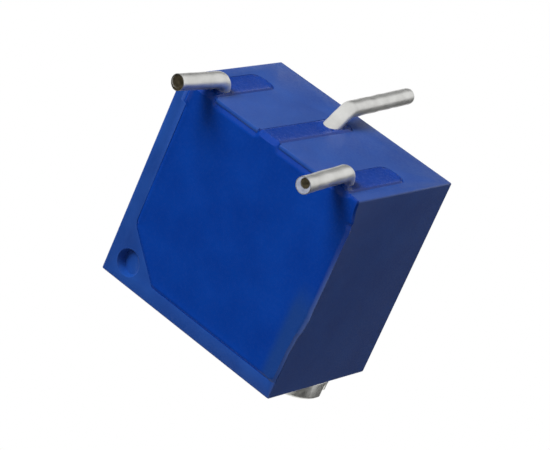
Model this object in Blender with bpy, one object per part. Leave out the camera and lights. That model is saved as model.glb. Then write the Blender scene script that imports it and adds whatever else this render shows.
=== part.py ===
"""A sealed multiturn trimmer potentiometer, 6.7 mm square, with three bent round leads.

X runs across the part, Y from the potted face to the rear, and Z up from the lead face to the screw.
Every length below is in millimetres. The assembly empty scales the model to metres and sets it on its leads.
"""

import math

import bmesh
import bpy
from mathutils import Matrix, Vector

MILLIMETRE = 0.001

# Housing
BODY_WIDTH = 6.71
BODY_DEPTH = 4.65
BODY_HEIGHT = 6.50
EDGE_RADIUS = 0.05
REAR_WALL = 0.80
TOP_RIM = 0.50
SCREW_SIDE_RIM = 0.25
LEAD_FACE_WALL = 0.50
LEAD_FACE_LIP = 0.08
LIP_SLOPE_DEPTH = 0.40
CUT_CORNER = 1.34
RECESS_CORNER_RADIUS = 0.15
CUT_CORNER_RADIUS = 0.45
DIMPLE_RADIUS = 0.42
DIMPLE_FLOOR_RADIUS = 0.35
DIMPLE_DEPTH = 0.30
DIMPLE_INSET_X = 0.78
DIMPLE_INSET_Z = 0.68
RELIEF_DEPTH = 0.12
RELIEF_LEDGE = 0.35
RELIEF_STEP_HEIGHT = 2.20

# Leads and their slots
LEAD_RADIUS = 0.25
LEAD_PITCH = 2.50
LEAD_LEAN = 0.09
LEAD_Y = 0.60
LEAD_INNER_HEIGHT = 2.10
OUTER_LEAD_DROP = 0.30
MIDDLE_LEAD_DROP = 0.445
LEAD_BEND_RADIUS = 0.34
LEFT_TIP_X = -2.54
LEFT_TIP_Y = -1.81
RIGHT_TIP_X = 2.70
RIGHT_TIP_Y = -1.26
MIDDLE_RUN_Y = 2.32
MIDDLE_FOOT_Y = 3.62
MIDDLE_TIP_X = 0.29
MIDDLE_TIP_Y = 7.02
MIDDLE_TIP_ROUNDING = 0.20
LEAD_TIP_SHARE = 0.45
LEAD_COVER = 0.05
OUTER_SLOT_WIDTH = 0.86
MIDDLE_SLOT_WIDTH = 0.74
OUTER_SLOT_END = 2.95
MIDDLE_SLOT_END = 3.75
SLOT_CORNER_RADIUS = 0.30
SLOT_MOUTH_RADIUS = 0.15

# Potting
EPOXY_BELOW_RIM = 0.06
EPOXY_BELOW_LEAD_FACE = 0.06

# Resistance element and its solder joints
SUBSTRATE_THICKNESS = 0.60
SUBSTRATE_CLEARANCE = 0.03
SUBSTRATE_BOTTOM = 0.80
NOTCH_RADIUS = 0.16
PRINT_THICKNESS = 0.03
TRACK_RADIUS = 1.45
TRACK_WIDTH = 0.40
TRACK_HALF_ANGLE = 140
END_PRINT_GAP = 1
END_PRINT_ANGLE = 16
COLLECTOR_RADIUS = 0.55
COLLECTOR_STRIP_WIDTH = 0.36
PAD_WIDTH = 0.62
PAD_HEIGHT = 1.45
REAR_PAD_HEIGHT = 0.50
SOLDER_WIDTH = 0.70
SOLDER_HEIGHT = 1.15
SOLDER_COVER = 0.08
SOLDER_TAPER = 0.80
SOLDER_TO_RIM = 0.105

# Worm and wheel
MODULE = 0.20
WHEEL_TEETH = 16
PRESSURE_ANGLE = 20
WORM_PITCH_RADIUS = 0.59
WORM_TURNS = 4
BACKLASH = 0.06
ROOT_CLEARANCE = 0.05
WHEEL_FACE_WIDTH = 0.90
ROTOR_HEIGHT = 3.35
ROTOR_CLEARANCE = 0.15
WORM_TO_SUBSTRATE = 0.41
WIPER_SEAT_RADIUS = 1.25
WIPER_SEAT_HEIGHT = 0.20
HUB_RADIUS = 0.80
POST_RADIUS = 0.50
POST_NOSE = 0.10
BORE_FLOOR = 0.15
THRUST_PAD_HEIGHT = 0.05

# Adjusting screw and its retaining clip
HEAD_RADIUS = 1.13
HEAD_THICKNESS = 0.565
HEAD_CHAMFER = 0.06
DRIVER_SLOT_WIDTH = 0.50
DRIVER_SLOT_DEPTH = 0.40
DRIVER_SLOT_ANGLE = -21
SCREW_SIDE_WALL = 0.345
PILOT_RADIUS = 0.30
PILOT_LENGTH = 0.55
TOP_LAND = 0.27
RING_RADIUS = 0.14
RING_SIDE_CLEARANCE = 0.04
MIDDLE_LAND = 0.33
CLIP_GROOVE_WIDTH = 0.24
CLIP_GROOVE_RADIUS = 0.36
LOWER_LAND = 0.28
CLIP_HALF_WIDTH = 0.75
CLIP_REACH = 0.62

# Wiper
WIPER_THICKNESS = 0.06
WIPER_HALF_WIDTH = 0.95
WIPER_BASE_BOTTOM = -0.85
WIPER_BASE_TOP = -0.25
FINGER_WIDTH = 0.14
FINGER_OFFSETS = (-0.42, -0.22, 0.22, 0.42)
FINGER_FOOT = 0.22
COLLECTOR_FINGER_TIP = 0.30
STAKE_RADIUS = 0.10
STAKE_HEAD_RADIUS = 0.17
STAKE_HEAD_HEIGHT = 0.06
STAKE_X = 0.65
STAKE_Z = -0.55

# Fits
SEAT_GAP = 0.01
RUNNING_GAP = 0.02
OVERSHOOT = 1.0

# Facets
ROUND_SIDES = 32
WIRE_SIDES = 12
RING_SIDES = 10
BEND_STEPS = 6
TIP_STEPS = 3
EDGE_STEPS = 2
CORNER_STEPS = 4
THREAD_STEPS = 20
FLANK_STEPS = 4
TWIST_STEPS = 4
ARC_STEP_DEGREES = 10
SHARP_ANGLE_DEGREES = 35

# Places that follow from the sizes above
LEAD_X = LEAD_PITCH - LEAD_LEAN
LEAD_PLACES = {"left": -LEAD_X, "middle": 0.0, "right": LEAD_X}
PAD_FRONT = LEAD_Y + LEAD_RADIUS + SEAT_GAP
SUBSTRATE_FRONT = PAD_FRONT + PRINT_THICKNESS + SEAT_GAP
SUBSTRATE_REAR = SUBSTRATE_FRONT + SUBSTRATE_THICKNESS
SHELF = SUBSTRATE_REAR + SEAT_GAP
PRINT_FRONT = SUBSTRATE_REAR + SEAT_GAP
PRINT_REAR = PRINT_FRONT + PRINT_THICKNESS
PRINT_BOTTOM = SUBSTRATE_BOTTOM + REAR_PAD_HEIGHT + SEAT_GAP
FLOOR = BODY_DEPTH - REAR_WALL
MIDDLE_LEAD_HEIGHT = EPOXY_BELOW_LEAD_FACE + LEAD_COVER + LEAD_RADIUS
SLOT_DEPTH = MIDDLE_LEAD_HEIGHT + LEAD_RADIUS + LEAD_COVER
WHEEL_RADIUS = MODULE * WHEEL_TEETH / 2
WHEEL_TIP_RADIUS = WHEEL_RADIUS + MODULE
WHEEL_ROOT_RADIUS = WHEEL_RADIUS - MODULE - ROOT_CLEARANCE
AXIAL_PITCH = math.pi * MODULE
TOOTH_THICKNESS = (AXIAL_PITCH - BACKLASH) / 2
WORM_TIP_RADIUS = WORM_PITCH_RADIUS + MODULE
WORM_ROOT_RADIUS = WORM_PITCH_RADIUS - MODULE - ROOT_CLEARANCE
WORM_LEAD_SLOPE = AXIAL_PITCH / (math.tau * WORM_PITCH_RADIUS)
THREAD_BOTTOM = ROTOR_HEIGHT - (WORM_TURNS + 1) / 2 * AXIAL_PITCH
SHANK_RADIUS = WORM_TIP_RADIUS
SCREW_BORE_RADIUS = SHANK_RADIUS + RUNNING_GAP
SCREW_X = -BODY_WIDTH / 2 + SCREW_SIDE_WALL + SCREW_BORE_RADIUS
SCREW_Y = SUBSTRATE_REAR + WORM_TO_SUBSTRATE + WORM_TIP_RADIUS
ROTOR_X = SCREW_X + WORM_PITCH_RADIUS + WHEEL_RADIUS
WHEEL_FRONT = SCREW_Y - WHEEL_FACE_WIDTH / 2
WIPER_SEAT = WHEEL_FRONT - WIPER_SEAT_HEIGHT
BORE_END = WHEEL_FRONT + BORE_FLOOR
THRUST_FACE = FLOOR - THRUST_PAD_HEIGHT
SEAL_GROOVE_RADIUS = SCREW_BORE_RADIUS - 2 * (RING_RADIUS + SEAT_GAP)
SEAL_GROOVE_WIDTH = 2 * (RING_RADIUS + RING_SIDE_CLEARANCE)
SEAL_GROOVE_TOP = BODY_HEIGHT - TOP_LAND
SEAL_GROOVE_BOTTOM = SEAL_GROOVE_TOP - SEAL_GROOVE_WIDTH
CLIP_GROOVE_TOP = SEAL_GROOVE_BOTTOM - MIDDLE_LAND
CLIP_GROOVE_BOTTOM = CLIP_GROOVE_TOP - CLIP_GROOVE_WIDTH
LOWER_LAND_BOTTOM = CLIP_GROOVE_BOTTOM - LOWER_LAND
RECESS_LEFT = -(BODY_WIDTH / 2 - SCREW_SIDE_RIM)
RECESS_RIGHT = LEAD_X + SOLDER_WIDTH / 2 + SOLDER_TO_RIM
RECESS_TOP = BODY_HEIGHT - TOP_RIM


def prepare_scene():
    """Empties the scene that the script starts in, and makes its unit the millimetre."""
    for obj in list(bpy.data.objects):
        bpy.data.objects.remove(obj)
    bpy.context.scene.unit_settings.scale_length = MILLIMETRE


def make_material(name, colour, roughness, metallic=0.0):
    """A Principled material of one colour."""
    made = bpy.data.materials.new(name)
    made.use_nodes = True
    shader = made.node_tree.nodes["Principled BSDF"]
    shader.inputs["Base Color"].default_value = (*colour, 1.0)
    shader.inputs["Roughness"].default_value = roughness
    shader.inputs["Metallic"].default_value = metallic
    made.diffuse_color = (*colour, 1.0)
    return made


def make_object(name, shape, parent, place=(0, 0, 0)):
    """An object on its parent, with its faces turned outwards and its round faces smooth."""
    bmesh.ops.recalc_face_normals(shape, faces=shape.faces)
    mesh = bpy.data.meshes.new(name)
    shape.to_mesh(mesh)
    shape.free()
    mesh.shade_smooth()
    mesh.set_sharp_from_angle(angle=math.radians(SHARP_ANGLE_DEGREES))
    obj = bpy.data.objects.new(name, mesh)
    bpy.context.scene.collection.objects.link(obj)
    obj.parent = parent
    obj.location = place
    return obj


def make_piece(name, shape, material, parent, place=(0, 0, 0)):
    """A sub-part of the trimmer, with its own material."""
    obj = make_object(name, shape, parent, place)
    obj.data.materials.append(material)
    return obj


def shape_with(piece, operation, name, shape, place=(0, 0, 0)):
    """Cuts a shape from a piece, or joins it on, and leaves it in the scene as a wire guide."""
    guide = make_object(f"{piece.name}_{name}", shape, piece.parent, place)
    guide.hide_render = True
    guide.display_type = "WIRE"
    modifier = piece.modifiers.new(name, "BOOLEAN")
    modifier.operation = operation
    modifier.object = guide


def cut(piece, name, shape, place=(0, 0, 0)):
    shape_with(piece, "DIFFERENCE", name, shape, place)


def join(piece, name, shape, place=(0, 0, 0)):
    shape_with(piece, "UNION", name, shape, place)


def block(x, y, z):
    """A box between three pairs of limits."""
    shape = bmesh.new()
    bmesh.ops.create_cube(shape, size=1)
    low = Vector((x[0], y[0], z[0]))
    high = Vector((x[1], y[1], z[1]))
    bmesh.ops.scale(shape, verts=shape.verts, vec=high - low)
    bmesh.ops.translate(shape, verts=shape.verts, vec=(low + high) / 2)
    return shape


def extruded(outline, axis, low, high):
    """A closed outline in the other two axes, in their order, extruded along one axis."""
    place = {
        "X": lambda a, b: (low, a, b),
        "Y": lambda a, b: (a, low, b),
        "Z": lambda a, b: (a, b, low),
    }[axis]
    shape = bmesh.new()
    face = shape.faces.new([shape.verts.new(place(a, b)) for a, b in outline])
    sweep(shape, [face], axis, high - low)
    return shape


def sweep(shape, faces, axis, distance):
    """Extrudes the faces along an axis."""
    grown = bmesh.ops.extrude_face_region(shape, geom=faces)["geom"]
    moved = [item for item in grown if isinstance(item, bmesh.types.BMVert)]
    direction = {"X": (1, 0, 0), "Y": (0, 1, 0), "Z": (0, 0, 1)}[axis]
    bmesh.ops.translate(shape, verts=moved, vec=Vector(direction) * distance)


def turned(profile, axis="Z"):
    """A profile of (radius, height) points from end to end, turned about an axis through the origin.

    Flats, not edges, lie across the other two axes.
    """
    shape = bmesh.new()
    points = [shape.verts.new((radius, 0, height)) for radius, height in profile]
    edges = [shape.edges.new(pair) for pair in zip(points, points[1:])]
    bmesh.ops.spin(
        shape,
        geom=points + edges,
        axis=(0, 0, 1),
        cent=(0, 0, 0),
        angle=math.tau,
        steps=ROUND_SIDES,
        use_merge=True,
    )
    bmesh.ops.remove_doubles(shape, verts=shape.verts, dist=SEAT_GAP / 10)
    turn = Matrix.Rotation(math.pi / ROUND_SIDES, 3, "Z")
    if axis == "Y":
        turn = Matrix.Rotation(-math.pi / 2, 3, "X") @ turn
    bmesh.ops.rotate(shape, verts=shape.verts, matrix=turn)
    return shape


def cylinder(radius, low, high, axis="Z"):
    return turned([(0, low), (radius, low), (radius, high), (0, high)], axis)


def corner_arc(before, here, after, radius, steps):
    """Points of the arc that rounds a corner off between two straight runs."""
    back = (before - here).normalized()
    onward = (after - here).normalized()
    half_angle = back.angle(onward) / 2
    centre = here + (back + onward).normalized() * radius / math.sin(half_angle)
    start = here + back * radius / math.tan(half_angle) - centre
    end = here + onward * radius / math.tan(half_angle) - centre
    return [centre + radius * start.slerp(end, step / steps).normalized() for step in range(steps + 1)]


def rounded(corners, radii):
    """An outline with every corner rounded, each by its own radius."""
    corners = [Vector(corner) for corner in corners]
    outline = []
    for i, (corner, radius) in enumerate(zip(corners, radii)):
        following = corners[(i + 1) % len(corners)]
        outline += corner_arc(corners[i - 1], corner, following, radius, CORNER_STEPS)
    return outline


def arc(centre, radius, start, end):
    """Points on a circle. Angles are in degrees, clockwise from straight up."""
    steps = max(1, round(abs(end - start) / ARC_STEP_DEGREES))
    angles = [math.radians(start + (end - start) * step / steps) for step in range(steps + 1)]
    return [(centre[0] + radius * math.sin(a), centre[1] + radius * math.cos(a)) for a in angles]


def bent_wire(corners, bend_radius):
    """A wire's centre line: straight runs with an arc of the bend radius at each corner."""
    corners = [Vector(corner) for corner in corners]
    line = [corners[0]]
    for before, here, after in zip(corners, corners[1:], corners[2:]):
        line += corner_arc(before, here, after, bend_radius, BEND_STEPS)
    return line + [corners[-1]]


def round_bar(line, radius, first_heading, tip_rounding=0.0):
    """A round bar along a line of points, with a flat facet underneath wherever it lies level.

    The first heading is where the bar's first upright run turns to. A rounded tip narrows over its length
    along an ellipse, down to the tip's share of the radius.
    """
    stations = [(point, radius) for point in line]
    if tip_rounding:
        end, way = line[-1], (line[-1] - line[-2]).normalized()
        stations[-1] = (end - way * tip_rounding, radius)
        for step in range(1, TIP_STEPS + 1):
            share = math.sin(math.pi / 2 * step / TIP_STEPS)
            narrowed = radius * math.sqrt(1 - (1 - LEAD_TIP_SHARE**2) * share**2)
            stations.append((end - way * tip_rounding * (1 - share), narrowed))
    shape = bmesh.new()
    rings = []
    for i, (point, size) in enumerate(stations):
        ahead = stations[min(i + 1, len(stations) - 1)][0]
        behind = stations[max(i - 1, 0)][0]
        way = (ahead - behind).normalized()
        up = Vector((0, 0, 1)) - way * way.z
        up = up.normalized() if up.length > SEAT_GAP else Vector(first_heading)
        across = way.cross(up)
        ring = []
        for side in range(WIRE_SIDES):
            angle = math.tau * (side + 0.5) / WIRE_SIDES
            ring.append(shape.verts.new(point + size * (up * math.cos(angle) + across * math.sin(angle))))
        rings.append(ring)
    for ring, following in zip(rings, rings[1:]):
        for side in range(WIRE_SIDES):
            beside = (side + 1) % WIRE_SIDES
            shape.faces.new((ring[side], ring[beside], following[beside], following[side]))
    shape.faces.new(rings[0])
    shape.faces.new(rings[-1])
    return shape


def recess_outline(gap=0.0, bottom=LEAD_FACE_WALL):
    """The potting recess, seen from the potted face, with one corner cut off. The gap draws it in."""
    left, right = RECESS_LEFT + gap, RECESS_RIGHT - gap
    low, top = bottom + gap, RECESS_TOP - gap
    corner = CUT_CORNER - gap * (2 - math.sqrt(2))
    corners = [(left, low), (right, low), (right, top - corner), (right - corner, top), (left, top)]
    small, wide = RECESS_CORNER_RADIUS - gap, CUT_CORNER_RADIUS - gap
    return rounded(corners, (small, small, wide, small, small))


def slot_outline(name, front, gap=0.0):
    """One lead slot, seen on the lead face, from a front line through its flared mouth to its rear end."""
    centre = LEAD_PITCH * {"left": -1, "middle": 0, "right": 1}[name]
    half_width = (MIDDLE_SLOT_WIDTH if name == "middle" else OUTER_SLOT_WIDTH) / 2
    rear = (MIDDLE_SLOT_END if name == "middle" else OUTER_SLOT_END) - gap
    left, right = centre - half_width, centre + half_width
    mouth_left, mouth_right = left - SLOT_MOUTH_RADIUS, right + SLOT_MOUTH_RADIUS
    flare = SLOT_MOUTH_RADIUS + gap
    corners = [
        Vector((right - gap, 0)),
        Vector((right - gap, rear)),
        Vector((left + gap, rear)),
        Vector((left + gap, 0)),
    ]
    outline = [(mouth_left, front), (mouth_right, front)]
    outline += arc((mouth_right, SLOT_MOUTH_RADIUS), flare, 180, 270)
    for before, here, after in zip(corners, corners[1:], corners[2:]):
        outline += corner_arc(before, here, after, SLOT_CORNER_RADIUS - gap, CORNER_STEPS)
    return outline + arc((mouth_left, SLOT_MOUTH_RADIUS), flare, 90, 180)


def lead_corners(name, lengthened=0.0):
    """The corners of one lead's centre line, from its soldered end to its tip."""
    x = LEAD_PLACES[name]
    start = [(x, LEAD_Y, LEAD_INNER_HEIGHT + lengthened)]
    if name != "middle":
        tip = (LEFT_TIP_X, LEFT_TIP_Y) if name == "left" else (RIGHT_TIP_X, RIGHT_TIP_Y)
        return start + [(x, LEAD_Y, -OUTER_LEAD_DROP), (*tip, -OUTER_LEAD_DROP)]
    splay = (MIDDLE_TIP_X - x) / (MIDDLE_TIP_Y - MIDDLE_RUN_Y)
    foot_x = x + splay * (MIDDLE_FOOT_Y - MIDDLE_RUN_Y)
    return start + [
        (x, LEAD_Y, MIDDLE_LEAD_HEIGHT),
        (x, MIDDLE_RUN_Y, MIDDLE_LEAD_HEIGHT),
        (foot_x, MIDDLE_FOOT_Y, -MIDDLE_LEAD_DROP),
        (MIDDLE_TIP_X, MIDDLE_TIP_Y, -MIDDLE_LEAD_DROP),
    ]


def lead_shape(name, gap=0.0):
    """One lead. The gap makes it thicker and longer inside, as the hole that it leaves in the potting."""
    line = bent_wire(lead_corners(name, lengthened=gap), LEAD_BEND_RADIUS)
    turn = line[-1] - line[0] if name != "middle" else Vector((0, 1, 0))
    heading = Vector((turn.x, turn.y, 0)).normalized()
    rounding = MIDDLE_TIP_ROUNDING if name == "middle" else 0.0
    return round_bar(line, LEAD_RADIUS + gap, heading, rounding)


def solder_shape(name, gap=0.0):
    """A mound of solder over the lead's inner end, narrower towards the potted face."""
    x = LEAD_PLACES[name]
    front = LEAD_Y - LEAD_RADIUS - SOLDER_COVER - gap
    top = LEAD_INNER_HEIGHT + SOLDER_COVER + gap
    bottom = top - SOLDER_HEIGHT - 2 * gap
    half_width = SOLDER_WIDTH / 2 + gap
    shape = block((x - half_width, x + half_width), (front, PAD_FRONT - SEAT_GAP + gap), (bottom, top))
    middle = Vector((x, front, (bottom + top) / 2))
    narrow = [v for v in shape.verts if v.co.y < LEAD_Y]
    about = Matrix.Translation(-middle)
    bmesh.ops.scale(shape, verts=narrow, vec=(SOLDER_TAPER, 1, 1), space=about)
    return shape


def make_housing(parent, material):
    """The moulded cup: recess, relief, rotor pocket, screw bore, clip slot, lead slots and dimple."""
    shape = block((-BODY_WIDTH / 2, BODY_WIDTH / 2), (0, BODY_DEPTH), (0, BODY_HEIGHT))
    bmesh.ops.bevel(
        shape,
        geom=shape.edges[:],
        offset=EDGE_RADIUS,
        segments=EDGE_STEPS,
        profile=0.5,
        affect="EDGES",
        material=-1,
    )
    housing = make_piece("housing", shape, material, parent)
    cut(housing, "recess", extruded(recess_outline(), "Y", -OVERSHOOT, SHELF))
    slope = (LEAD_FACE_WALL - LEAD_FACE_LIP) / LIP_SLOPE_DEPTH
    inside = LIP_SLOPE_DEPTH + OVERSHOOT
    lip = [
        (-OVERSHOOT, LEAD_FACE_LIP),
        (0, LEAD_FACE_LIP),
        (inside, LEAD_FACE_LIP + slope * inside),
        (-OVERSHOOT, LEAD_FACE_LIP + slope * inside),
    ]
    sides = (RECESS_LEFT + RECESS_CORNER_RADIUS, RECESS_RIGHT - RECESS_CORNER_RADIUS)
    cut(housing, "lip_slope", extruded(lip, "X", *sides))
    cut_relief(housing)
    cut(housing, "rotor_pocket", rotor_pocket_shape(), (ROTOR_X, 0, ROTOR_HEIGHT))
    worm_channel = [
        (0, THREAD_BOTTOM - PILOT_LENGTH - RUNNING_GAP),
        (PILOT_RADIUS + RUNNING_GAP, THREAD_BOTTOM - PILOT_LENGTH - RUNNING_GAP),
        (PILOT_RADIUS + RUNNING_GAP, THREAD_BOTTOM - RUNNING_GAP),
        (SCREW_BORE_RADIUS, THREAD_BOTTOM - RUNNING_GAP),
        (SCREW_BORE_RADIUS, BODY_HEIGHT + OVERSHOOT),
        (0, BODY_HEIGHT + OVERSHOOT),
    ]
    cut(housing, "screw_bore", turned(worm_channel), (SCREW_X, SCREW_Y, 0))
    clip_slot = block(
        (SCREW_X - CLIP_HALF_WIDTH - SEAT_GAP, SCREW_X + CLIP_HALF_WIDTH + SEAT_GAP),
        (SUBSTRATE_REAR, SCREW_Y + CLIP_REACH + RUNNING_GAP),
        (CLIP_GROOVE_BOTTOM + SEAT_GAP, CLIP_GROOVE_TOP - SEAT_GAP),
    )
    cut(housing, "clip_slot", clip_slot)
    for name in LEAD_PLACES:
        slot = extruded(slot_outline(name, -OVERSHOOT), "Z", -OVERSHOOT, SLOT_DEPTH)
        cut(housing, f"{name}_slot", slot)
    dimple = [
        (0, -OVERSHOOT),
        (DIMPLE_RADIUS, -OVERSHOOT),
        (DIMPLE_RADIUS, 0),
        (DIMPLE_FLOOR_RADIUS, DIMPLE_DEPTH),
        (0, DIMPLE_DEPTH),
    ]
    dimple_place = (BODY_WIDTH / 2 - DIMPLE_INSET_X, 0, BODY_HEIGHT - DIMPLE_INSET_Z)
    cut(housing, "dimple", turned(dimple, "Y"), dimple_place)
    return housing


def cut_relief(housing):
    """Sinks the shelf behind the substrate, so that only its edges rest and the printed tracks stay clear."""
    top = RECESS_TOP - RELIEF_LEDGE
    left, right = RECESS_LEFT + RELIEF_LEDGE, RECESS_RIGHT - RELIEF_LEDGE
    corner = CUT_CORNER
    upper = [
        (left, RELIEF_STEP_HEIGHT - RELIEF_LEDGE),
        (right, RELIEF_STEP_HEIGHT - RELIEF_LEDGE),
        (right, top - corner),
        (right - corner, top),
        (left, top),
    ]
    cut(housing, "upper_relief", extruded(upper, "Y", SUBSTRATE_REAR, SHELF + RELIEF_DEPTH))
    lower = block(
        (RECESS_LEFT + SUBSTRATE_CLEARANCE, RECESS_RIGHT - SUBSTRATE_CLEARANCE),
        (SUBSTRATE_REAR, SHELF + RELIEF_DEPTH),
        (LEAD_FACE_WALL + SUBSTRATE_CLEARANCE, RELIEF_STEP_HEIGHT),
    )
    cut(housing, "lower_relief", lower)


def rotor_pocket_shape():
    """The rotor's room. Its middle leaves the pivot post standing, with a raised thrust pad around it."""
    radius = WHEEL_TIP_RADIUS + ROTOR_CLEARANCE
    post_tip = BORE_END + RUNNING_GAP
    profile = [
        (0, SUBSTRATE_REAR),
        (radius, SUBSTRATE_REAR),
        (radius, FLOOR),
        (HUB_RADIUS, FLOOR),
        (HUB_RADIUS, THRUST_FACE),
        (POST_RADIUS, THRUST_FACE),
        (POST_RADIUS, post_tip + POST_NOSE),
        (POST_RADIUS - POST_NOSE, post_tip),
        (0, post_tip),
    ]
    return turned(profile, "Y")


def make_potting(parent, material):
    """The cured epoxy: a slab over the substrate, run up to the lead face and out along the lead slots."""
    rear = SUBSTRATE_FRONT - SEAT_GAP
    shape = extruded(recess_outline(SEAT_GAP), "Y", EPOXY_BELOW_RIM, rear)
    potting = make_piece("potting", shape, material, parent)
    slope = (LEAD_FACE_WALL - LEAD_FACE_LIP) / LIP_SLOPE_DEPTH
    lift = LEAD_FACE_LIP + RUNNING_GAP
    lip = [
        (-OVERSHOOT, lift - slope * OVERSHOOT),
        (LIP_SLOPE_DEPTH, lift + slope * LIP_SLOPE_DEPTH),
        (LIP_SLOPE_DEPTH, SUBSTRATE_BOTTOM),
        (-OVERSHOOT, SUBSTRATE_BOTTOM),
    ]
    inset = RECESS_CORNER_RADIUS + SEAT_GAP
    join(potting, "lip", extruded(lip, "X", RECESS_LEFT + inset, RECESS_RIGHT - inset))
    for name in LEAD_PLACES:
        outline = slot_outline(name, -OVERSHOOT, SEAT_GAP)
        shape = extruded(outline, "Z", EPOXY_BELOW_LEAD_FACE, SLOT_DEPTH - SEAT_GAP)
        join(potting, f"{name}_run", shape)
    front = block(
        (-BODY_WIDTH, BODY_WIDTH),
        (-2 * OVERSHOOT, EPOXY_BELOW_RIM),
        (-2 * OVERSHOOT, BODY_HEIGHT),
    )
    cut(potting, "front_face", front)
    for name, x in LEAD_PLACES.items():
        cut(potting, f"{name}_lead", lead_shape(name, SEAT_GAP))
        cut(potting, f"{name}_solder", solder_shape(name, SEAT_GAP))
        pad = block(
            (x - PAD_WIDTH / 2 - SEAT_GAP, x + PAD_WIDTH / 2 + SEAT_GAP),
            (PAD_FRONT - SEAT_GAP, SUBSTRATE_FRONT + OVERSHOOT),
            (SUBSTRATE_BOTTOM - LEAD_COVER, SUBSTRATE_BOTTOM + PAD_HEIGHT + SEAT_GAP),
        )
        cut(potting, f"{name}_pad", pad)
    return potting


def make_substrate(parent, material):
    """The ceramic plate, with a half-round notch at its lower edge behind each lead."""
    outline = recess_outline(SUBSTRATE_CLEARANCE, SUBSTRATE_BOTTOM - SUBSTRATE_CLEARANCE)
    shape = extruded(outline, "Y", SUBSTRATE_FRONT, SUBSTRATE_REAR)
    substrate = make_piece("substrate", shape, material, parent)
    for name, x in LEAD_PLACES.items():
        notch = cylinder(NOTCH_RADIUS, 0, BODY_DEPTH, "Y")
        cut(substrate, f"{name}_notch", notch, (x, 0, SUBSTRATE_BOTTOM))


def make_prints(parent, cermet, conductor):
    """The horseshoe track, the collector, the conductors at the track's ends and the wrapped solder pads."""
    centre = (ROTOR_X, ROTOR_HEIGHT)
    inner, outer = TRACK_RADIUS - TRACK_WIDTH / 2, TRACK_RADIUS + TRACK_WIDTH / 2
    end = TRACK_HALF_ANGLE
    horseshoe = arc(centre, inner, -end, end) + arc(centre, outer, end, -end)
    make_piece("resistive_track", extruded(horseshoe, "Y", PRINT_FRONT, PRINT_REAR), cermet, parent)

    half_strip = math.degrees(math.asin(COLLECTOR_STRIP_WIDTH / 2 / COLLECTOR_RADIUS))
    disc = arc(centre, COLLECTOR_RADIUS, half_strip - 180, 180 - half_strip)
    disc += [(COLLECTOR_STRIP_WIDTH / 2, PRINT_BOTTOM), (-COLLECTOR_STRIP_WIDTH / 2, PRINT_BOTTOM)]
    make_piece("collector_track", extruded(disc, "Y", PRINT_FRONT, PRINT_REAR), conductor, parent)

    for name, side in (("left", -1), ("right", 1)):
        near = side * (end + END_PRINT_GAP)
        far = side * (end + END_PRINT_GAP + END_PRINT_ANGLE)
        pad_near = LEAD_PLACES[name] - side * PAD_WIDTH / 2
        pad_far = LEAD_PLACES[name] + side * PAD_WIDTH / 2
        strip = arc(centre, inner, near, far)
        strip += [arc(centre, outer, far, far)[0], (pad_near, PRINT_BOTTOM), (pad_far, PRINT_BOTTOM)]
        strip += [arc(centre, outer, near, near)[0]]
        shape = extruded(strip, "Y", PRINT_FRONT, PRINT_REAR)
        make_piece(f"end_conductor_{name}", shape, conductor, parent)

    for name, x in LEAD_PLACES.items():
        over, under = SUBSTRATE_BOTTOM - SEAT_GAP, SUBSTRATE_BOTTOM - SEAT_GAP - PRINT_THICKNESS
        rear_top, front_top = SUBSTRATE_BOTTOM + REAR_PAD_HEIGHT, SUBSTRATE_BOTTOM + PAD_HEIGHT
        wrap = [
            (PAD_FRONT, under),
            (PRINT_REAR, under),
            (PRINT_REAR, rear_top),
            (PRINT_FRONT, rear_top),
            (PRINT_FRONT, over),
            (PAD_FRONT + PRINT_THICKNESS, over),
            (PAD_FRONT + PRINT_THICKNESS, front_top),
            (PAD_FRONT, front_top),
        ]
        shape = extruded(wrap, "X", x - PAD_WIDTH / 2, x + PAD_WIDTH / 2)
        make_piece(f"pad_{name}", shape, conductor, parent)


def make_leads(parent, tinned, solder):
    """Three bent wires, each with its solder joint on the substrate."""
    leads = []
    for name in LEAD_PLACES:
        leads.append(make_piece(f"lead_{name}", lead_shape(name), tinned, parent))
        joint = make_piece(f"solder_{name}", solder_shape(name), solder, parent)
        cut(joint, "lead", lead_shape(name, SEAT_GAP))
    return leads


def thread_shape():
    """The worm's thread: a rack tooth's section on the screw's axis, wound right-handed into a helix."""
    slope = math.tan(math.radians(PRESSURE_ANGLE))
    foot_radius = WORM_ROOT_RADIUS - ROOT_CLEARANCE
    foot = TOOTH_THICKNESS / 2 + (WORM_PITCH_RADIUS - foot_radius) * slope
    crest = TOOTH_THICKNESS / 2 - MODULE * slope
    start = ROTOR_HEIGHT - WORM_TURNS / 2 * AXIAL_PITCH
    section = [(foot_radius, -foot), (WORM_TIP_RADIUS, -crest), (WORM_TIP_RADIUS, crest), (foot_radius, foot)]
    shape = bmesh.new()
    shape.faces.new([shape.verts.new((radius, 0, start + height)) for radius, height in section])
    turn_back = Matrix.Rotation(-math.pi * WORM_TURNS, 3, "Z")
    bmesh.ops.rotate(shape, verts=shape.verts, matrix=turn_back)
    bmesh.ops.spin(
        shape,
        geom=shape.verts[:] + shape.edges[:] + shape.faces[:],
        axis=(0, 0, 1),
        cent=(0, 0, 0),
        dvec=(0, 0, AXIAL_PITCH / THREAD_STEPS),
        angle=math.tau * WORM_TURNS,
        steps=THREAD_STEPS * WORM_TURNS,
    )
    return shape


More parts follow.
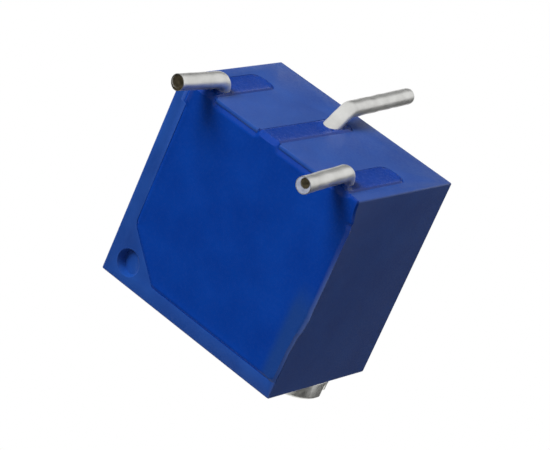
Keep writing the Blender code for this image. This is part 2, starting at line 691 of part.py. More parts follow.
def make_screw(parent, brass, rubber):
    """The turned adjusting screw, with its O-ring. Both have their origin on the screw's axis."""
    under_head = BODY_HEIGHT + RUNNING_GAP
    head_top = under_head + HEAD_THICKNESS
    profile = [
        (0, THREAD_BOTTOM - PILOT_LENGTH),
        (PILOT_RADIUS, THREAD_BOTTOM - PILOT_LENGTH),
        (PILOT_RADIUS, THREAD_BOTTOM),
        (WORM_ROOT_RADIUS, THREAD_BOTTOM),
        (WORM_ROOT_RADIUS, LOWER_LAND_BOTTOM),
        (SHANK_RADIUS, LOWER_LAND_BOTTOM),
        (SHANK_RADIUS, CLIP_GROOVE_BOTTOM),
        (CLIP_GROOVE_RADIUS, CLIP_GROOVE_BOTTOM),
        (CLIP_GROOVE_RADIUS, CLIP_GROOVE_TOP),
        (SHANK_RADIUS, CLIP_GROOVE_TOP),
        (SHANK_RADIUS, SEAL_GROOVE_BOTTOM),
        (SEAL_GROOVE_RADIUS, SEAL_GROOVE_BOTTOM),
        (SEAL_GROOVE_RADIUS, SEAL_GROOVE_TOP),
        (SHANK_RADIUS, SEAL_GROOVE_TOP),
        (SHANK_RADIUS, under_head),
        (HEAD_RADIUS, under_head),
        (HEAD_RADIUS, head_top - HEAD_CHAMFER),
        (HEAD_RADIUS - HEAD_CHAMFER, head_top),
        (0, head_top),
    ]
    place = (SCREW_X, SCREW_Y, 0)
    screw = make_piece("adjusting_screw", turned(profile), brass, parent, place)
    join(screw, "worm", thread_shape(), place)
    reach = HEAD_RADIUS + OVERSHOOT
    half_width = DRIVER_SLOT_WIDTH / 2
    depth = (head_top - DRIVER_SLOT_DEPTH, head_top + OVERSHOOT)
    driver_slot = block((-reach, reach), (-half_width, half_width), depth)
    turn = Matrix.Rotation(math.radians(DRIVER_SLOT_ANGLE), 3, "Z")
    bmesh.ops.rotate(driver_slot, verts=driver_slot.verts, matrix=turn)
    cut(screw, "driver_slot", driver_slot, place)

    middle_radius = (SCREW_BORE_RADIUS + SEAL_GROOVE_RADIUS) / 2
    ring = bmesh.new()
    bmesh.ops.create_circle(ring, segments=RING_SIDES, radius=RING_RADIUS, cap_ends=False)
    bmesh.ops.rotate(ring, verts=ring.verts, matrix=Matrix.Rotation(math.pi / 2, 3, "X"))
    centre_height = (SEAL_GROOVE_TOP + SEAL_GROOVE_BOTTOM) / 2
    bmesh.ops.translate(ring, verts=ring.verts, vec=(middle_radius, 0, centre_height))
    bmesh.ops.spin(
        ring,
        geom=ring.verts[:] + ring.edges[:],
        axis=(0, 0, 1),
        cent=(0, 0, 0),
        angle=math.tau,
        steps=ROUND_SIDES,
        use_merge=True,
    )
    make_piece("o_ring", ring, rubber, screw)
    return screw


def make_clip(parent, material):
    """The forked plate in the screw's lower groove, which holds it in. It is pushed in from the front."""
    gap = CLIP_GROOVE_RADIUS + RUNNING_GAP
    front = SHELF + RUNNING_GAP - SCREW_Y
    outline = [(-CLIP_HALF_WIDTH, front), (CLIP_HALF_WIDTH, front)]
    outline += [(CLIP_HALF_WIDTH, CLIP_REACH), (gap, CLIP_REACH)]
    outline += arc((0, 0), gap, 90, 270)
    outline += [(-gap, CLIP_REACH), (-CLIP_HALF_WIDTH, CLIP_REACH)]
    low, high = CLIP_GROOVE_BOTTOM + RUNNING_GAP, CLIP_GROOVE_TOP - RUNNING_GAP
    shape = extruded(outline, "Z", low, high)
    make_piece("retaining_clip", shape, material, parent, (SCREW_X, SCREW_Y, 0))


def wheel_outline():
    """The wheel's teeth, with involute flanks. A gap faces the worm at rest."""
    pressure = math.radians(PRESSURE_ANGLE)
    base_radius = WHEEL_RADIUS * math.cos(pressure)
    low = max(base_radius, WHEEL_ROOT_RADIUS)
    flank = []
    for step in range(FLANK_STEPS + 1):
        radius = low + (WHEEL_TIP_RADIUS - low) * step / FLANK_STEPS
        roll = math.acos(base_radius / radius)
        spread = math.tan(pressure) - pressure - math.tan(roll) + roll
        flank.append((radius, TOOTH_THICKNESS / 2 / WHEEL_RADIUS + spread))
    flank.insert(0, (WHEEL_ROOT_RADIUS, flank[0][1]))
    outline = []
    for tooth in range(WHEEL_TEETH):
        centre = math.pi + math.tau * (tooth + 0.5) / WHEEL_TEETH
        rising = [(radius, centre - angle) for radius, angle in flank]
        falling = [(radius, centre + angle) for radius, angle in reversed(flank)]
        outline += [(radius * math.cos(a), radius * math.sin(a)) for radius, a in rising + falling]
    return outline


def make_rotor(parent, material):
    """The worm wheel: helical teeth, a seat for the wiper in front, and a blind-bored hub behind."""
    twist = WHEEL_FACE_WIDTH * WORM_LEAD_SLOPE / WHEEL_RADIUS
    shape = bmesh.new()
    shape.faces.new([shape.verts.new((x, WHEEL_FRONT, z)) for x, z in wheel_outline()])
    untwist = Matrix.Rotation(-twist / 2, 3, "Y")
    bmesh.ops.rotate(shape, verts=shape.verts, matrix=untwist)
    bmesh.ops.spin(
        shape,
        geom=shape.verts[:] + shape.edges[:] + shape.faces[:],
        axis=(0, 1, 0),
        cent=(0, 0, 0),
        dvec=(0, WHEEL_FACE_WIDTH / TWIST_STEPS, 0),
        angle=twist,
        steps=TWIST_STEPS,
    )
    place = (ROTOR_X, 0, ROTOR_HEIGHT)
    wheel = make_piece("worm_wheel", shape, material, parent, place)
    hub_end = THRUST_FACE - RUNNING_GAP
    core = [
        (0, WIPER_SEAT),
        (WIPER_SEAT_RADIUS, WIPER_SEAT),
        (WIPER_SEAT_RADIUS, SCREW_Y),
        (HUB_RADIUS, SCREW_Y),
        (HUB_RADIUS, hub_end),
        (0, hub_end),
    ]
    join(wheel, "core", turned(core, "Y"), place)
    bore = cylinder(POST_RADIUS + RUNNING_GAP, BORE_END, BODY_DEPTH, "Y")
    cut(wheel, "bore", bore, place)
    head_front = WIPER_SEAT - WIPER_THICKNESS - 2 * SEAT_GAP - STAKE_HEAD_HEIGHT
    stake = [
        (0, WHEEL_FRONT),
        (STAKE_RADIUS, WHEEL_FRONT),
        (STAKE_RADIUS, head_front + STAKE_HEAD_HEIGHT),
        (STAKE_HEAD_RADIUS, head_front + STAKE_HEAD_HEIGHT),
        (STAKE_HEAD_RADIUS, head_front + STAKE_HEAD_HEIGHT / 2),
        (STAKE_RADIUS, head_front),
        (0, head_front),
    ]
    for side, x in (("left", -STAKE_X), ("right", STAKE_X)):
        join(wheel, f"{side}_stake", turned(stake, "Y"), (ROTOR_X + x, 0, ROTOR_HEIGHT + STAKE_Z))
    return wheel


def make_wiper(wheel, material):
    """The stamped spring: a flat base staked to the wheel, with fingers bent forward to the tracks."""
    tips = {x: TRACK_RADIUS for x in FINGER_OFFSETS}
    tips[0.0] = COLLECTOR_FINGER_TIP
    base = WIPER_SEAT - SEAT_GAP
    foot = PRINT_REAR + SEAT_GAP + WIPER_THICKNESS
    shape = bmesh.new()
    roots = []
    for x in sorted(tips):
        bends = [(base, WIPER_BASE_TOP), (foot, tips[x] - FINGER_FOOT), (foot, tips[x])]
        left = [shape.verts.new((x - FINGER_WIDTH / 2, y, z)) for y, z in bends]
        right = [shape.verts.new((x + FINGER_WIDTH / 2, y, z)) for y, z in bends]
        shape.faces.new((left[0], right[0], right[1], left[1]))
        shape.faces.new((left[1], right[1], right[2], left[2]))
        roots += [left[0], right[0]]
    low_left = shape.verts.new((-WIPER_HALF_WIDTH, base, WIPER_BASE_BOTTOM))
    low_right = shape.verts.new((WIPER_HALF_WIDTH, base, WIPER_BASE_BOTTOM))
    high_right = shape.verts.new((WIPER_HALF_WIDTH, base, WIPER_BASE_TOP))
    high_left = shape.verts.new((-WIPER_HALF_WIDTH, base, WIPER_BASE_TOP))
    shape.faces.new([low_left, low_right, high_right, *reversed(roots), high_left])
    sweep(shape, shape.faces[:], "Y", -WIPER_THICKNESS)
    wiper = make_piece("wiper", shape, material, wheel)
    for side, x in (("left", -STAKE_X), ("right", STAKE_X)):
        hole = cylinder(STAKE_RADIUS + SEAT_GAP, 0, BODY_DEPTH, "Y")
        cut(wiper, f"{side}_stake_hole", hole, (x, 0, STAKE_Z))


def stand_on_leads(assembly, leads):
    """Moves the assembly so that the scene's origin is on the ground under the middle of its outer size."""
    corners = [vert.co for lead in leads for vert in lead.data.vertices]
    front = min(corner.y for corner in corners)
    rear = max(corner.y for corner in corners)
    lowest = min(corner.z for corner in corners)
    assembly.location = (0, -(front + rear) / 2, -lowest)


def make_trimmer():
    assembly = bpy.data.objects.new("trimmer", None)
    bpy.context.scene.collection.objects.link(assembly)
    moulding = make_material("blue_thermoplastic", (0.025, 0.055, 0.24), 0.45)
    epoxy = make_material("blue_epoxy", (0.006, 0.035, 0.25), 0.35)
    nickel = make_material("nickel_plate", (0.72, 0.70, 0.66), 0.28, 1.0)
    tin = make_material("tinned_copper", (0.80, 0.79, 0.76), 0.30, 1.0)
    solder = make_material("solder", (0.70, 0.70, 0.70), 0.35, 1.0)
    rubber = make_material("silicone_rubber", (0.45, 0.08, 0.05), 0.60)
    spring = make_material("spring_steel", (0.60, 0.60, 0.62), 0.30, 1.0)
    nylon = make_material("white_nylon", (0.80, 0.79, 0.74), 0.40)
    contact = make_material("contact_alloy", (0.80, 0.68, 0.42), 0.25, 1.0)
    ceramic = make_material("alumina", (0.85, 0.85, 0.82), 0.50)
    cermet = make_material("cermet", (0.04, 0.04, 0.045), 0.35)
    conductor = make_material("silver_conductor", (0.72, 0.72, 0.70), 0.40, 1.0)
    make_housing(assembly, moulding)
    make_potting(assembly, epoxy)
    make_substrate(assembly, ceramic)
    make_prints(assembly, cermet, conductor)
    leads = make_leads(assembly, tin, solder)
    make_screw(assembly, nickel, rubber)
    make_clip(assembly, spring)
    wheel = make_rotor(assembly, nylon)
    make_wiper(wheel, contact)
    stand_on_leads(assembly, leads)


prepare_scene()
make_trimmer()
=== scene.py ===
"""The looks of a sealed multiturn trimmer potentiometer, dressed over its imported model.

The file follows the part as it is put together. Lengths are in metres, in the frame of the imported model.
"""

import math

import bmesh
import bpy
from mathutils import Matrix, Vector, noise
from mathutils.geometry import intersect_point_line


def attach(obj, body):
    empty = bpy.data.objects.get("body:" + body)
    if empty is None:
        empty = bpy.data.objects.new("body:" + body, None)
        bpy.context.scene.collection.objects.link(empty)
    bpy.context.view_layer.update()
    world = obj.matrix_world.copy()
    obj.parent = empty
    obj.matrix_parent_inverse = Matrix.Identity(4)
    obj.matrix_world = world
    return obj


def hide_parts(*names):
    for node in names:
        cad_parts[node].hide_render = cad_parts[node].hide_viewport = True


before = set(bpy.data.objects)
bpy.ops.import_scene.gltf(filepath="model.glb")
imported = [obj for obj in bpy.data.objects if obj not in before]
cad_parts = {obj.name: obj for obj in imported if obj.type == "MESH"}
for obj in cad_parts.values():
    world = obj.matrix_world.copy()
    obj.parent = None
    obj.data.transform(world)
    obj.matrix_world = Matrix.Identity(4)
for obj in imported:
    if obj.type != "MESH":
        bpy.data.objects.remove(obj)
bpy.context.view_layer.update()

# Camera. The photograph was taken from below and in front of the part, with the camera rolled so that the
# leads point up in the picture. The rows of the view are its right, up and backward directions.
CAMERA_PLACE = (-0.034375, -0.061002, -0.027044)
CAMERA_RIGHT = (-0.7137, 0.5936, -0.3719)
CAMERA_UP = (0.5365, 0.1219, -0.8351)
CAMERA_BACK = (-0.4504, -0.7955, -0.4054)
LENS_MM = 176.07
CLIP_START = 0.001

view = Matrix((CAMERA_RIGHT, CAMERA_UP, CAMERA_BACK)).transposed().to_4x4()
view.translation = CAMERA_PLACE
lens = bpy.data.cameras.new("camera")
lens.lens = LENS_MM
lens.clip_start = CLIP_START
camera = bpy.data.objects.new("camera", lens)
camera.matrix_world = view
bpy.context.scene.collection.objects.link(camera)
bpy.context.scene.camera = camera

# Housing. One cup of blue thermoplastic: recess, lead slots, dimple and screw bore all come from the mould.
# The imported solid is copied, and its mould edges are rounded by a few hundredths of a millimetre. The ejector
# pin stood askew, so the dimple's floor slopes down from the recess's side to the outer one.
MILLIMETRE = 0.001
BODY_FRONT = -0.0026018
LEAD_FACE = 0.0006865
SCREW_FACE = LEAD_FACE + 0.0065
MOULD_EDGE = 0.03 * MILLIMETRE
ROUND_STEPS = 3
SHARP_ANGLE = math.radians(35)
FLAT_ANGLE = math.radians(0.5)
MERGE_DISTANCE = 0.001 * MILLIMETRE
LEVEL_TOLERANCE = 0.002 * MILLIMETRE
Y_AXIS = 1
Z_AXIS = 2
DIMPLE_CENTRE = Vector((2.575 * MILLIMETRE, 0, LEAD_FACE + 5.82 * MILLIMETRE))
DIMPLE_RADIUS = 0.43 * MILLIMETRE
DIMPLE_FLOOR_RADIUS = 0.35 * MILLIMETRE
DIMPLE_DEPTH = 0.30 * MILLIMETRE
DIMPLE_LEAST_DEPTH = 0.015 * MILLIMETRE
DIMPLE_DEEP_WAY = Vector((0.953, 0, 0.301))
HOUSING_DARK = (0.0075, 0.052, 0.275)
HOUSING_PALE = (0.011, 0.068, 0.325)
NOISE_DETAIL = 4.0
CLOUD_BAND = (0.3, 0.7)
GRAIN_BAND = (0.35, 0.65)
GRAIN_HEIGHT = 0.3


def mottle_group():
    """A node group for slightly uneven surfaces: soft clouds of colour, gloss and height."""
    group = bpy.data.node_groups.new("mottle", "ShaderNodeTree")
    sockets = (
        ("Cloud Size", "INPUT", "NodeSocketFloat"),
        ("Grain Size", "INPUT", "NodeSocketFloat"),
        ("Dark", "INPUT", "NodeSocketColor"),
        ("Pale", "INPUT", "NodeSocketColor"),
        ("Least Roughness", "INPUT", "NodeSocketFloat"),
        ("Most Roughness", "INPUT", "NodeSocketFloat"),
        ("Color", "OUTPUT", "NodeSocketColor"),
        ("Roughness", "OUTPUT", "NodeSocketFloat"),
        ("Height", "OUTPUT", "NodeSocketFloat"),
    )
    for name, in_out, kind in sockets:
        group.interface.new_socket(name, in_out=in_out, socket_type=kind)
    nodes, links = group.nodes, group.links
    given = nodes.new("NodeGroupInput")
    result = nodes.new("NodeGroupOutput")
    place = nodes.new("ShaderNodeTexCoord")
    noises = {}
    for name in ("Cloud Size", "Grain Size"):
        density = nodes.new("ShaderNodeMath")
        density.operation = "DIVIDE"
        density.inputs[0].default_value = 1.0
        links.new(given.outputs[name], density.inputs[1])
        noises[name] = nodes.new("ShaderNodeTexNoise")
        noises[name].inputs["Detail"].default_value = NOISE_DETAIL
        links.new(place.outputs["Object"], noises[name].inputs["Vector"])
        links.new(density.outputs["Value"], noises[name].inputs["Scale"])
    colour = nodes.new("ShaderNodeMix")
    colour.data_type = "RGBA"
    spread = nodes.new("ShaderNodeMapRange")
    spread.inputs["From Min"].default_value = CLOUD_BAND[0]
    spread.inputs["From Max"].default_value = CLOUD_BAND[1]
    links.new(noises["Cloud Size"].outputs["Fac"], spread.inputs["Value"])
    links.new(spread.outputs["Result"], colour.inputs["Factor"])
    links.new(given.outputs["Dark"], colour.inputs["A"])
    links.new(given.outputs["Pale"], colour.inputs["B"])
    gloss = nodes.new("ShaderNodeMapRange")
    gloss.inputs["From Min"].default_value = GRAIN_BAND[0]
    gloss.inputs["From Max"].default_value = GRAIN_BAND[1]
    links.new(noises["Grain Size"].outputs["Fac"], gloss.inputs["Value"])
    links.new(given.outputs["Least Roughness"], gloss.inputs["To Min"])
    links.new(given.outputs["Most Roughness"], gloss.inputs["To Max"])
    height = nodes.new("ShaderNodeMath")
    height.operation = "MULTIPLY_ADD"
    height.inputs[1].default_value = GRAIN_HEIGHT
    links.new(noises["Grain Size"].outputs["Fac"], height.inputs[0])
    links.new(noises["Cloud Size"].outputs["Fac"], height.inputs[2])
    links.new(colour.outputs["Result"], result.inputs["Color"])
    links.new(gloss.outputs["Result"], result.inputs["Roughness"])
    links.new(height.outputs["Value"], result.inputs["Height"])
    return group


MOTTLE = mottle_group()


def mottled_material(name, dark, pale, gloss, sizes, relief, metallic=0.0):
    """A Principled material with the mottle group in its colour, roughness and bump.

    Gloss holds the least and the most roughness, and sizes those of the clouds and the grain. Relief is the
    height of the bumps.
    """
    made = bpy.data.materials.new(name)
    made.use_nodes = True
    nodes, links = made.node_tree.nodes, made.node_tree.links
    shader = nodes["Principled BSDF"]
    shader.inputs["Metallic"].default_value = metallic
    mottle = nodes.new("ShaderNodeGroup")
    mottle.node_tree = MOTTLE
    mottle.inputs["Cloud Size"].default_value = sizes[0]
    mottle.inputs["Grain Size"].default_value = sizes[1]
    mottle.inputs["Dark"].default_value = (*dark, 1.0)
    mottle.inputs["Pale"].default_value = (*pale, 1.0)
    mottle.inputs["Least Roughness"].default_value = gloss[0]
    mottle.inputs["Most Roughness"].default_value = gloss[1]
    bump = nodes.new("ShaderNodeBump")
    bump.inputs["Strength"].default_value = 1.0
    bump.inputs["Distance"].default_value = relief
    links.new(mottle.outputs["Color"], shader.inputs["Base Color"])
    links.new(mottle.outputs["Roughness"], shader.inputs["Roughness"])
    links.new(mottle.outputs["Height"], bump.inputs["Height"])
    links.new(bump.outputs["Normal"], shader.inputs["Normal"])
    return made


def copied_solid(node):
    """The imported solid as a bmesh, with its loose triangles merged and its flat faces made whole."""
    mesh = bmesh.new()
    mesh.from_mesh(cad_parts[node].data)
    bmesh.ops.remove_doubles(mesh, verts=mesh.verts, dist=MERGE_DISTANCE)
    bmesh.ops.dissolve_limit(
        mesh, angle_limit=FLAT_ANGLE, verts=mesh.verts, edges=mesh.edges, delimit=set()
    )
    return mesh


def shown_piece(name, mesh, material, node, body="case"):
    """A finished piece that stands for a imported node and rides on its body."""
    data = bpy.data.meshes.new(name)
    mesh.to_mesh(data)
    mesh.free()
    data.materials.append(material)
    data.shade_smooth()
    data.set_sharp_from_angle(angle=SHARP_ANGLE)
    piece = bpy.data.objects.new(name, data)
    bpy.context.scene.collection.objects.link(piece)
    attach(piece, body)
    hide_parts(node)
    return piece


def lies_on(edge, axis, level):
    """Whether both ends of an edge are at a level along an axis."""
    return all(abs(vert.co[axis] - level) < LEVEL_TOLERANCE for vert in edge.verts)


def round_off(mesh, edges, size):
    """Rounds the edges as a mould or a lathe tool leaves them."""
    bmesh.ops.bevel(
        mesh,
        geom=edges,
        offset=size,
        segments=ROUND_STEPS,
        profile=0.5,
        affect="EDGES",
        material=-1,
        clamp_overlap=True,
    )


moulded = mottled_material(
    "moulded_blue",
    HOUSING_DARK,
    HOUSING_PALE,
    gloss=(0.36, 0.50),
    sizes=(0.9 * MILLIMETRE, 0.06 * MILLIMETRE),
    relief=0.006 * MILLIMETRE,
)
cup = copied_solid("housing")
for vert in cup.verts:
    across = Vector((vert.co.x, 0, vert.co.z)) - DIMPLE_CENTRE
    if across.length < DIMPLE_RADIUS and vert.co.y > BODY_FRONT + MOULD_EDGE:
        share = 0.5 + across.dot(DIMPLE_DEEP_WAY) / (2 * DIMPLE_FLOOR_RADIUS)
        vert.co.y = BODY_FRONT + DIMPLE_LEAST_DEPTH + (DIMPLE_DEPTH - DIMPLE_LEAST_DEPTH) * share
mould_edges = [
    edge
    for edge in cup.edges
    if edge.is_manifold
    and edge.calc_face_angle() > SHARP_ANGLE
    and (
        lies_on(edge, Y_AXIS, BODY_FRONT)
        or lies_on(edge, Z_AXIS, LEAD_FACE)
        or lies_on(edge, Z_AXIS, SCREW_FACE)
    )
]
round_off(cup, mould_edges, MOULD_EDGE)
housing = shown_piece("housing_moulding", cup, moulded, "housing")

# Leads. Three half-millimetre copper wires, tinned by dipping, bent over and sheared off. The shear leaves a
# dark core in the outer two's ends, in a ring of smeared tin on the left one and a dark ring on the right.
# The middle one's end is rounded over. Corners are in millimetres from the body's front and the lead face.
LEAD_RADIUS = 0.25 * MILLIMETRE
LEAD_BEND = 0.34 * MILLIMETRE
LEAD_SIDES = 32
BEND_STEPS = 10
STRAIGHT_STEP = 0.12 * MILLIMETRE
TIN_RIM = 0.02 * MILLIMETRE
SMEAR_RIM = {"left": 0.072 * MILLIMETRE, "right": 0.03 * MILLIMETRE}
CORE_MATERIAL = 1
SMEAR_MATERIAL = {"left": 2, "right": CORE_MATERIAL}
CORE_HOLLOW = 0.03 * MILLIMETRE
CORE_SHIFT = {
    "left": Vector((-0.028, 0, -0.085)) * MILLIMETRE,
    "right": Vector((0.030, 0, -0.016)) * MILLIMETRE,
}
TIN_LUMP = 0.012 * MILLIMETRE
TIN_LUMP_LENGTH = 0.35 * MILLIMETRE
TIN_LUMP_SINK = 0.5
TIN_DARK = (0.58, 0.58, 0.56)
TIN_PALE = (0.72, 0.72, 0.70)
CORE_DARK = (0.022, 0.018, 0.010)
CORE_PALE = (0.12, 0.10, 0.06)
SMEAR_DARK = (0.30, 0.33, 0.43)
SMEAR_PALE = (0.48, 0.51, 0.63)
LEAD_CORNERS = {
    "left": ((-2.41, 0.60, 2.10), (-2.41, 0.60, -0.30), (-2.61, -1.77, -0.30)),
    "right": ((2.41, 0.60, 2.10), (2.41, 0.71, -0.32), (2.58, -1.26, -0.30)),
    "middle": (
        (0.0, 0.60, 2.10),
        (0.0, 0.60, 0.36),
        (0.0, 2.58, 0.36),
        (0.0802, 3.62, -0.445),
        (0.29, 7.02, -0.445),
    ),
}
MIDDLE_END_ROUND = 0.20 * MILLIMETRE
END_STEPS = 5
END_TURN = math.radians(85)


def ring_edges(geometry):
    """The edges among an operator's results."""
    return [item for item in geometry if isinstance(item, bmesh.types.BMEdge)]


def ring_verts(geometry):
    """The corners among an operator's results."""
    return [item for item in geometry if isinstance(item, bmesh.types.BMVert)]


def run_straight(mesh, ring, offset):
    """Draws a ring of edges out along a straight line and returns the new ring."""
    drawn = bmesh.ops.extrude_edge_only(mesh, edges=ring)["geom"]
    bmesh.ops.translate(mesh, verts=ring_verts(drawn), vec=offset)
    return ring_edges(drawn)


def straight_in_steps(mesh, ring, start, end):
    """Draws a straight run in short steps, so that the tin's lumps have faces to show on."""
    steps = max(1, round((end - start).length / STRAIGHT_STEP))
    for _ in range(steps):
        ring = run_straight(mesh, ring, (end - start) / steps)
    return ring


def bent_wire(corners):
    """A round wire through the corners, with a bend at each, open at both ends."""
    mesh = bmesh.new()
    heading = (corners[1] - corners[0]).normalized()
    bmesh.ops.create_circle(mesh, segments=LEAD_SIDES, radius=LEAD_RADIUS, cap_ends=False)
    facing = Vector((0, 0, 1)).rotation_difference(heading).to_matrix()
    bmesh.ops.rotate(mesh, verts=mesh.verts, matrix=facing)
    bmesh.ops.translate(mesh, verts=mesh.verts, vec=corners[0])
    ring = mesh.edges[:]
    place = corners[0]
    for here, after in zip(corners[1:], corners[2:]):
        onward = (after - here).normalized()
        angle = heading.angle(onward)
        set_back = LEAD_BEND * math.tan(angle / 2)
        ring = straight_in_steps(mesh, ring, place, here - heading * set_back)
        inward = (onward - heading * heading.dot(onward)).normalized()
        centre = here - heading * set_back + inward * LEAD_BEND
        swept = bmesh.ops.spin(
            mesh,
            geom=ring,
            cent=centre,
            axis=heading.cross(onward).normalized(),
            angle=angle,
            steps=BEND_STEPS,
            use_duplicate=False,
        )
        ring = ring_edges(swept["geom_last"])
        place = here + onward * set_back
        heading = onward
    ring = straight_in_steps(mesh, ring, place, corners[-1])
    return mesh, ring


def lump_the_tin(mesh):
    """Moves the wire's skin in and out a little, as dipped tin runs and sets."""
    mesh.normal_update()
    for vert in mesh.verts:
        lump = noise.noise(vert.co / TIN_LUMP_LENGTH) - TIN_LUMP_SINK
        vert.co += vert.normal * TIN_LUMP * lump


def round_end(wire, end_face):
    """Rounds a wire's end over in short steps."""
    reached = (1.0, 0.0)
    for step in range(1, END_STEPS + 1):
        turn = END_TURN * step / END_STEPS
        across, ahead = math.cos(turn), math.sin(turn)
        bmesh.ops.inset_region(
            wire,
            faces=end_face,
            thickness=(reached[0] - across) * LEAD_RADIUS,
            depth=(ahead - reached[1]) * MIDDLE_END_ROUND,
            use_even_offset=True,
        )
        reached = (across, ahead)


def shear_end(wire, end_face, name):
    """Gives a wire's end its rim of tin, the smeared ring within it and the hollow core."""
    bmesh.ops.inset_region(wire, faces=end_face, thickness=TIN_RIM, use_even_offset=True)
    smear = bmesh.ops.inset_region(
        wire, faces=end_face, thickness=SMEAR_RIM[name], use_even_offset=True
    )["faces"]
    bmesh.ops.translate(wire, verts=end_face[0].verts, vec=CORE_SHIFT[name])
    bmesh.ops.inset_region(
        wire, faces=end_face, thickness=TIN_RIM / 2, depth=-CORE_HOLLOW, use_even_offset=True
    )
    for face in smear:
        face.material_index = SMEAR_MATERIAL[name]
    for face in end_face:
        face.material_index = CORE_MATERIAL


tin = mottled_material(
    "dipped_tin",
    TIN_DARK,
    TIN_PALE,
    gloss=(0.34, 0.46),
    sizes=(0.5 * MILLIMETRE, 0.07 * MILLIMETRE),
    relief=0.0015 * MILLIMETRE,
    metallic=1.0,
)
sheared = mottled_material(
    "sheared_core",
    CORE_DARK,
    CORE_PALE,
    gloss=(0.45, 0.65),
    sizes=(0.12 * MILLIMETRE, 0.03 * MILLIMETRE),
    relief=0.004 * MILLIMETRE,
    metallic=0.6,
)
smeared = mottled_material(
    "smeared_tin",
    SMEAR_DARK,
    SMEAR_PALE,
    gloss=(0.40, 0.60),
    sizes=(0.15 * MILLIMETRE, 0.03 * MILLIMETRE),
    relief=0.003 * MILLIMETRE,
)
to_row = Vector((0, BODY_FRONT, LEAD_FACE))
lead_lines = []
for name, corners in LEAD_CORNERS.items():
    corners = [Vector(corner) * MILLIMETRE + to_row for corner in corners]
    lead_lines.append(corners)
    if name == "middle":
        end = corners[-1] - (corners[-1] - corners[-2]).normalized() * MIDDLE_END_ROUND
        corners = corners[:-1] + [end]
    wire, last_ring = bent_wire(corners)
    first_ring = [edge for edge in wire.edges if edge.is_boundary and edge not in last_ring]
    lump_the_tin(wire)
    bmesh.ops.contextual_create(wire, geom=first_ring)
    end_face = bmesh.ops.contextual_create(wire, geom=last_ring)["faces"]
    bmesh.ops.recalc_face_normals(wire, faces=wire.faces)
    if name == "middle":
        round_end(wire, end_face)
    else:
        shear_end(wire, end_face, name)
    lead = shown_piece(f"wire_{name}", wire, tin, f"lead_{name}")
    lead.data.materials.append(sheared)
    lead.data.materials.append(smeared)

# Potting. Blue epoxy poured into the recess and the lead slots, over the soldered leads. It cures with a wavy
# skin and a meniscus at the walls and wires. On the screw's side it has run over the rim as a thin, paler
# film, hangs over the body's edge in places, and has left a puddle on the corner at the left lead.
# The body round the pour. A slot has its place along the row, its width and its length from the body's front.
BODY_SIDE = -3.355 * MILLIMETRE
RECESS_X = (-3.105 * MILLIMETRE, 2.865 * MILLIMETRE)
RECESS_Z = (LEAD_FACE + 0.08 * MILLIMETRE, LEAD_FACE + 6.00 * MILLIMETRE)
CUT_CORNER = 1.34 * MILLIMETRE
LEAD_PITCH = 2.50 * MILLIMETRE
OUTER_SLOT = (0.86 * MILLIMETRE, 2.95 * MILLIMETRE)
MIDDLE_SLOT = (0.74 * MILLIMETRE, 3.75 * MILLIMETRE)
SLOTS = ((-LEAD_PITCH, *OUTER_SLOT), (0.0, *MIDDLE_SLOT), (LEAD_PITCH, *OUTER_SLOT))
# The epoxy, as a thick pour and as a thin film, and a painted highlight along its spilled edge on the screw's
# side
EPOXY_DARK = (0.0015, 0.036, 0.275)
EPOXY_PALE = (0.0022, 0.046, 0.325)
EPOXY_SPECULAR = 0.2
FILM_BLUE = (0.0100, 0.050, 0.235)
FILM_WIDTH = (0.36 * MILLIMETRE, 0.68 * MILLIMETRE)
FILM_HEIGHTS = (2.6 * MILLIMETRE, 3.8 * MILLIMETRE)
PAINTED_EDGE_HIGHLIGHT_BLUE = (0.060, 0.110, 0.330)
PAINTED_HIGHLIGHT_WIDTH = 0.04 * MILLIMETRE
PAINTED_HIGHLIGHT_HEIGHTS = (1.0 * MILLIMETRE, 2.6 * MILLIMETRE, 4.6 * MILLIMETRE, 6.0 * MILLIMETRE)
# Its one skin, and the level at which it sets
VOXEL_MM = 0.045
SWELLING_MM = 0.06
SMOOTHING = 0.5
SMOOTHING_PASSES = 4
PLUG_GROWTH = 0.03 * MILLIMETRE
EDGE_DEPTH = 0.04 * MILLIMETRE
SKIN_DEPTH = 0.12 * MILLIMETRE
FRONT_LEVEL = BODY_FRONT + 0.03 * MILLIMETRE
SLOT_LEVEL = LEAD_FACE + 0.03 * MILLIMETRE
LEVEL_NORMAL = 0.96
SETTLING = 0.03 * MILLIMETRE
# How it climbs the walls, the screw's side and the wires, and how its skin waves
MENISCUS_RISE = 0.05 * MILLIMETRE
MENISCUS_REACH = 0.10 * MILLIMETRE
SIDE_RISE = 0.075 * MILLIMETRE
SIDE_REACH = 0.40 * MILLIMETRE
WIRE_RISE = 0.03 * MILLIMETRE
WIRE_REACH = 0.08 * MILLIMETRE
WAVE_HEIGHT = 0.012 * MILLIMETRE
WAVE_LENGTH = 1.6 * MILLIMETRE
# Where it has run over the screw's side, over the lip between the slots, and into a puddle
SPILL_START = 0.50 * MILLIMETRE
OVERHANG = 0.15 * MILLIMETRE
OVERHANG_HEIGHTS = (0.1 * MILLIMETRE, 0.9 * MILLIMETRE, 3.6 * MILLIMETRE, 5.0 * MILLIMETRE)
OVERHANG_WAVE = 0.02 * MILLIMETRE
OVERHANG_WAVE_LENGTH = 0.35 * MILLIMETRE
LIP_SPILL = 0.065 * MILLIMETRE
LIP_SPILL_START = 0.16 * MILLIMETRE
PUDDLE_SIZE = Vector((0.30, 0.09, 0.60)) * MILLIMETRE
PUDDLE_PLACE = Vector(
    (-2.955 * MILLIMETRE, BODY_FRONT + 0.075 * MILLIMETRE, LEAD_FACE + 0.35 * MILLIMETRE)
)


def smooth_step(start, end, value):
    """A soft step from nought to one between two values."""
    share = min(max((value - start) / (end - start), 0), 1)
    return share * share * (3 - 2 * share)


def within(limits, value):
    """One between the middle two of four limits, fading to nought at the outer two."""
    low, full, fading, gone = limits
    return smooth_step(low, full, value) * (1 - smooth_step(fading, gone, value))


